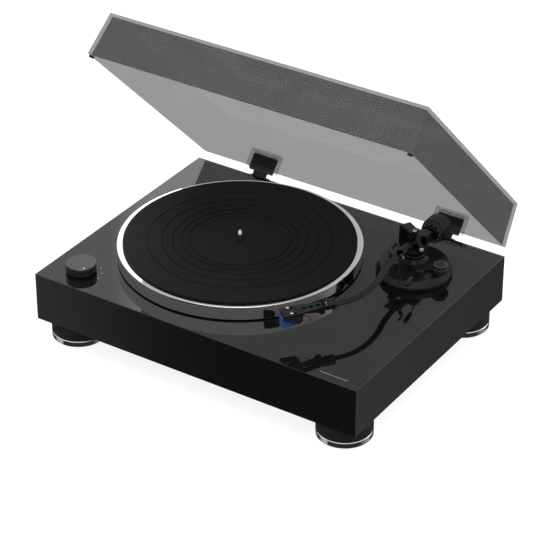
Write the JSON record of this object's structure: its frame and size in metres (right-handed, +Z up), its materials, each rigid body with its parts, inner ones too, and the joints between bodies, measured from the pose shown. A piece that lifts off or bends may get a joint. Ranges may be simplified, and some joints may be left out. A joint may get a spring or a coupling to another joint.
{
  "type": "turntable record player",
  "caption": "Record player with gloss plinth on round feet, belt-driven platter, S-shaped counterweighted tonearm and a hinged smoked cover that opens over the deck.",
  "frame": {"origin": "centre of the bounding box on the floor under the feet", "axes": "+X to the arm side, +Y to the hinge side, +Z up"},
  "size_m": [0.45, 0.3872, 0.3753],
  "materials": {
    "gloss_black": "high gloss black lacquer",
    "dark_plastic": "satin black moulding",
    "black_metal": "satin black anodised",
    "platter_metal": "polished bright",
    "bright_trim": "bright plated",
    "steel": "turned steel",
    "gold_metal": "gold plated",
    "black_rubber": "matt rubber",
    "mat_rubber": "matt ribbed rubber",
    "smoked_acrylic": "smoke tinted clear acrylic",
    "clear_plastic": "clear moulding",
    "circuit_board": "green board",
    "blue_plastic": "blue moulding",
    "lead_white": "insulated wire",
    "lead_blue": "insulated wire",
    "lead_green": "insulated wire",
    "lead_red": "insulated wire"
  },
  "bodies": {
    "deck": {"plinth": "gloss_black", "bottom_cover": "dark_plastic", "jack_panel": "dark_plastic", "power_inlet": "dark_plastic", "main_board": "circuit_board", "bearing_housing": "gold_metal", "drive_belt": "black_rubber", "motor_body": "black_metal", "selector_switch": "dark_plastic", "hinge_socket_left": "dark_plastic", "hinge_socket_right": "dark_plastic"},
    "platter_body": {"platter": "platter_metal", "platter_mat": "mat_rubber", "spindle": "steel"},
    "pulley_body": {"motor_pulley": "gold_metal"},
    "knob_body": {"speed_knob": "dark_plastic"},
    "nut_body": {"ground_nut": "gold_metal"},
    "lid_body": {"lid": "smoked_acrylic", "lid_bumper_left": "black_rubber", "lid_bumper_right": "black_rubber", "hinge_pocket_left": "clear_plastic", "hinge_pocket_right": "clear_plastic", "hinge_leaf_left": "dark_plastic", "hinge_leaf_right": "dark_plastic"},
    "ring_body": {"height_ring": "black_metal"},
    "lift_body": {"arm_base": "black_metal", "bearing_turret": "black_metal", "top_bearing_screw": "gold_metal", "arm_rest": "black_metal"},
    "skate_body": {"anti_skate_dial": "dark_plastic"},
    "latch_body": {"rest_latch": "dark_plastic"},
    "cue_lever_body": {"cue_lever": "dark_plastic"},
    "cue_bar_body": {"cue_bar": "black_metal"},
    "gimbal_body": {"gimbal_ring": "black_metal", "pivot_screw_right": "gold_metal", "pivot_screw_left": "gold_metal"},
    "arm_body": {"arm_tube": "black_metal", "pivot_block": "black_metal", "headshell": "black_metal", "finger_lift": "dark_plastic", "cartridge": "dark_plastic", "stylus": "blue_plastic", "cartridge_screw_left": "gold_metal", "cartridge_screw_right": "gold_metal", "lead_white": "lead_white", "lead_blue": "lead_blue", "lead_green": "lead_green", "lead_red": "lead_red"},
    "collar_body": {"lock_collar": "black_metal"},
    "bush_body": {"weight_bush": "black_metal"},
    "weight_body": {"counterweight": "black_metal"},
    "dial_body": {"weight_dial": "dark_plastic"},
    "foot_front_left": {"foot_body_front_left": "black_rubber", "foot_trim_front_left": "bright_trim"},
    "foot_front_right": {"foot_body_front_right": "black_rubber", "foot_trim_front_right": "bright_trim"},
    "foot_rear_left": {"foot_body_rear_left": "black_rubber", "foot_trim_rear_left": "bright_trim"},
    "foot_rear_right": {"foot_body_rear_right": "black_rubber", "foot_trim_rear_right": "bright_trim"}
  },
  "joints": [
    {"name": "platter_spin", "type": "hinge", "parent": "deck", "child": "platter_body", "pos_m": [-0.045, -0.02179, 0.1012], "axis": [0, 0, 1], "continuous": true},
    {"name": "motor_spin", "type": "hinge", "parent": "deck", "child": "pulley_body", "pos_m": [-0.12042, 0.07474, 0.0992], "axis": [0, 0, 1], "continuous": true},
    {"name": "speed_turn", "type": "hinge", "parent": "deck", "child": "knob_body", "pos_m": [-0.182, -0.15879, 0.0972], "axis": [0, 0, 1], "range_deg": [-40, 40]},
    {"name": "ground_nut_turn", "type": "hinge", "parent": "deck", "child": "nut_body", "pos_m": [-0.012, 0.15421, 0.0572], "axis": [0, 1, 0], "range_deg": [-360, 360]},
    {"name": "lid_hinge", "type": "hinge", "parent": "deck", "child": "lid_body", "pos_m": [0, 0.15641, 0.0823], "axis": [-1, 0, 0], "range_deg": [-45.4, 15]},
    {"name": "height_turn", "type": "hinge", "parent": "deck", "child": "ring_body", "pos_m": [0.1515, 0.05821, 0.0982], "axis": [0, 0, 1], "range_deg": [0, 240]},
    {"name": "arm_lift", "type": "slide", "parent": "deck", "child": "lift_body", "axis": [0, 0, 1], "range_m": [0, 0.004]},
    {"name": "skate_turn", "type": "hinge", "parent": "lift_body", "child": "skate_body", "pos_m": [0.1875, 0.05761, 0.1112], "axis": [0, 0, 1], "range_deg": [0, 300]},
    {"name": "latch_swing", "type": "hinge", "parent": "lift_body", "child": "latch_body", "pos_m": [0.1536, 0.01921, 0.1172], "axis": [0, 1, 0], "range_deg": [-28, 20]},
    {"name": "cue_lever_swing", "type": "hinge", "parent": "lift_body", "child": "cue_lever_body", "pos_m": [0.1705, 0.03971, 0.108], "axis": [-0.9848, -0.1736, 0], "range_deg": [0, 40]},
    {"name": "cue_bar_lift", "type": "slide", "parent": "lift_body", "child": "cue_bar_body", "axis": [0, 0, 1], "range_m": [-0.005, 0]},
    {"name": "arm_swing", "type": "hinge", "parent": "lift_body", "child": "gimbal_body", "pos_m": [0.146, 0.06621, 0.1282], "axis": [0, 0, 1], "range_deg": [-45, 0]},
    {"name": "arm_tilt", "type": "hinge", "parent": "gimbal_body", "child": "arm_body", "pos_m": [0.146, 0.06621, 0.1282], "axis": [-0.809, 0.5878, 0], "range_deg": [0, 8]},
    {"name": "collar_turn", "type": "hinge", "parent": "arm_body", "child": "collar_body", "pos_m": [0.1334, -0.11399, 0.1299], "axis": [0.5592, 0.829, 0], "range_deg": [0, 90]},
    {"name": "weight_slide", "type": "slide", "parent": "arm_body", "child": "bush_body", "axis": [0, 1, 0], "range_m": [-0.004, 0.004]},
    {"name": "weight_turn", "type": "hinge", "parent": "bush_body", "child": "weight_body", "pos_m": [0.15, 0.11821, 0.1247], "axis": [0, 1, 0], "range_deg": [-720, 720]},
    {"name": "dial_turn", "type": "hinge", "parent": "bush_body", "child": "dial_body", "pos_m": [0.15, 0.10321, 0.1247], "axis": [0, 1, 0], "range_deg": [-180, 180]},
    {"name": "foot_turn_front_left", "type": "hinge", "parent": "deck", "child": "foot_front_left", "pos_m": [-0.1895, -0.15799, 0.0112], "axis": [0, 0, 1], "range_deg": [-180, 180]},
    {"name": "foot_turn_front_right", "type": "hinge", "parent": "deck", "child": "foot_front_right", "pos_m": [0.1895, -0.15799, 0.0112], "axis": [0, 0, 1], "range_deg": [-180, 180]},
    {"name": "foot_turn_rear_left", "type": "hinge", "parent": "deck", "child": "foot_rear_left", "pos_m": [-0.1895, 0.11441, 0.0112], "axis": [0, 0, 1], "range_deg": [-180, 180]},
    {"name": "foot_turn_rear_right", "type": "hinge", "parent": "deck", "child": "foot_rear_right", "pos_m": [0.1895, 0.11441, 0.0112], "axis": [0, 0, 1], "range_deg": [-180, 180]}
  ],
  "couplings": [
    {"joint": "motor_spin", "follows": "platter_spin", "ratio": 13.5},
    {"joint": "height_turn", "follows": "arm_lift", "rad_per_m": 1047},
    {"joint": "cue_lever_swing", "follows": "cue_bar_lift", "rad_per_m": -139.62},
    {"joint": "weight_turn", "follows": "weight_slide", "rad_per_m": 3141.5}
  ]
}
